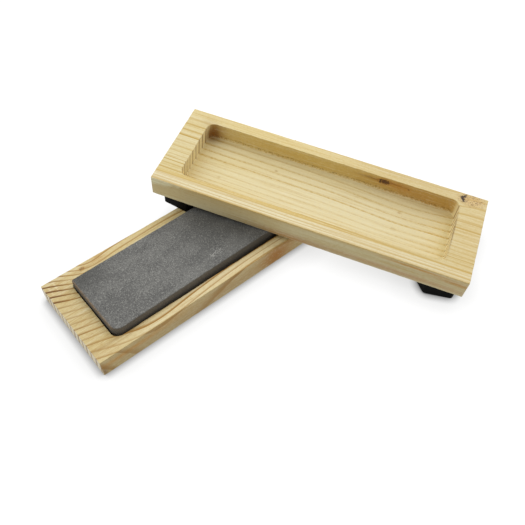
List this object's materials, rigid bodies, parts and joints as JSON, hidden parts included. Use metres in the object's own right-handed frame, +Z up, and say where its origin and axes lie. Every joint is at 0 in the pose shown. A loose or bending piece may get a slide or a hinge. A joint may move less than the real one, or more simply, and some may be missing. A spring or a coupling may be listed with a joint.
{
  "type": "sharpening whetstone",
  "caption": "Rectangular bench whetstone in a two-part milled softwood case; the deeper half stands on rubber feet and holds the stone in use.",
  "frame": {"origin": "centre of the case lid's flat underside, on the surface that the object lies on", "axes": "+X along the lid and the stone, towards the end that the base crosses; +Y across them, away from the side where the base comes down to the table; +Z up"},
  "size_m": [0.2945, 0.2497, 0.0508],
  "materials": {
    "lid_pine": "planed, unfinished pine",
    "base_pine": "planed, unfinished pine",
    "stone_grit": "dry, fine sparkling grit",
    "foot_rubber": "satin black rubber"
  },
  "bodies": {
    "lid": {"case_lid": "lid_pine"},
    "stone": {"stone": "stone_grit"},
    "base": {"case_base": "base_pine", "foot_left_near": "foot_rubber", "foot_left_far": "foot_rubber", "foot_right_near": "foot_rubber", "foot_right_far": "foot_rubber"}
  },
  "joints": [
    {"name": "stone_lift", "type": "slide", "parent": "lid", "child": "stone", "axis": [0, 0, 1], "range_m": [0, 0.03]},
    {"name": "base_lift", "type": "slide", "parent": "stone", "child": "base", "axis": [0, 0, 1], "range_m": [0, 0.08]}
  ]
}
